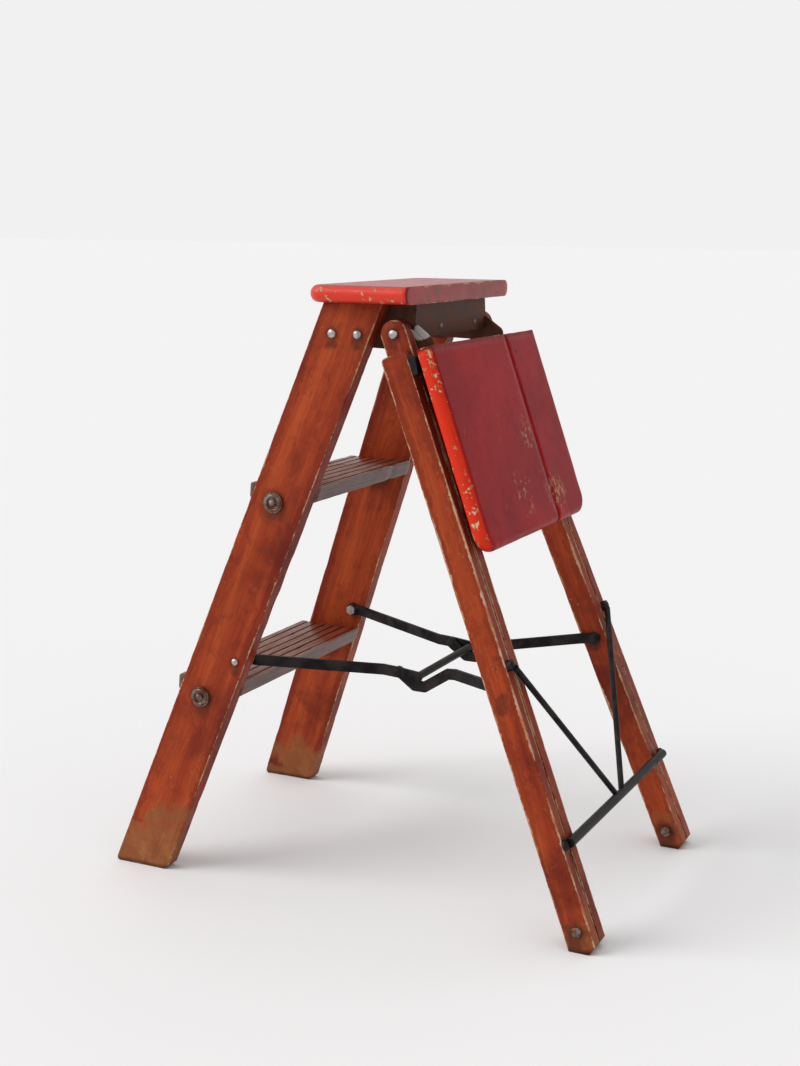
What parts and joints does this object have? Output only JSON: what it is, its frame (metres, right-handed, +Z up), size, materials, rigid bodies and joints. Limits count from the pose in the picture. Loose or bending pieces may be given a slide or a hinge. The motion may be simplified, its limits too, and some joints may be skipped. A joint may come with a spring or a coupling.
{
  "type": "folding step stool",
  "caption": "Folding wooden step stool with grooved treads, splayed double rear legs, folding spreader straps and a rear flap that swings up into a seat.",
  "frame": {"origin": "on the floor, in the middle of the footprint of the open stool", "axes": "+Z up, +Y from the treads towards the rear legs, +X to the right seen from behind"},
  "size_m": [0.3314, 0.5348, 0.61],
  "materials": {
    "stained_wood": "worn red-brown stain",
    "worn_tread": "stain worn to grey-pink",
    "red_board": "worn red paint",
    "dark_iron": "dull, dark",
    "brown_steel": "brown patina",
    "bright_steel": "worn bright"
  },
  "bodies": {
    "ladder": {"stile_right": "stained_wood", "stile_left": "stained_wood", "tread_lower": "worn_tread", "tread_upper": "worn_tread", "tie_rod_lower": "dark_iron", "tie_rod_upper": "dark_iron", "tie_rod_cups": "bright_steel", "top_board": "red_board", "bracket_ear_right": "brown_steel", "bracket_ear_left": "brown_steel", "bracket_plate": "brown_steel", "head_rail": "stained_wood", "bracket_screws": "dark_iron", "head_bolts": "bright_steel", "spreader_eye_bolts": "bright_steel", "top_pivot_bolts": "bright_steel"},
    "rear_legs": {"outer_leg_right": "stained_wood", "outer_leg_left": "stained_wood", "inner_leg_right": "stained_wood", "inner_leg_left": "stained_wood", "foot_bolts": "bright_steel", "foot_spacers": "dark_iron", "leg_eye_rivets": "dark_iron", "leg_crossbar": "dark_iron", "crossbar_screws": "dark_iron", "brace_rod_right": "dark_iron", "brace_rod_left": "dark_iron", "brace_screws": "dark_iron"},
    "seat_flap": {"flap_plank_wide": "red_board", "flap_plank_narrow": "red_board", "flap_arm_right": "brown_steel", "flap_arm_left": "brown_steel", "flap_screws": "dark_iron"},
    "spreader_front": {"spreader_strap_front_right": "dark_iron", "spreader_strap_front_left": "dark_iron", "spreader_rod": "dark_iron", "spreader_rivets_front": "dark_iron"},
    "spreader_rear": {"spreader_strap_rear_right": "dark_iron", "spreader_strap_rear_left": "dark_iron", "spreader_rivets_rear": "dark_iron"}
  },
  "joints": [
    {"name": "legs_fold", "type": "hinge", "parent": "ladder", "child": "rear_legs", "pos_m": [0, 0.02817, 0.5644], "axis": [-1, 0, 0], "range_deg": [0, 37]},
    {"name": "flap_raise", "type": "hinge", "parent": "rear_legs", "child": "seat_flap", "pos_m": [0, 0.02817, 0.5644], "axis": [1, 0, 0], "range_deg": [0, 70.6]},
    {"name": "front_straps_fold", "type": "hinge", "parent": "ladder", "child": "spreader_front", "pos_m": [0, -0.1322, 0.228], "axis": [1, 0, 0], "range_deg": [0, 66.9]},
    {"name": "rear_straps_fold", "type": "hinge", "parent": "rear_legs", "child": "spreader_rear", "pos_m": [0, 0.16355, 0.2296], "axis": [-1, 0, 0], "range_deg": [0, 57.13]}
  ],
  "couplings": [
    {"joint": "front_straps_fold", "follows": "legs_fold", "ratio": 1.8081},
    {"joint": "rear_straps_fold", "follows": "legs_fold", "ratio": 1.5441}
  ]
}
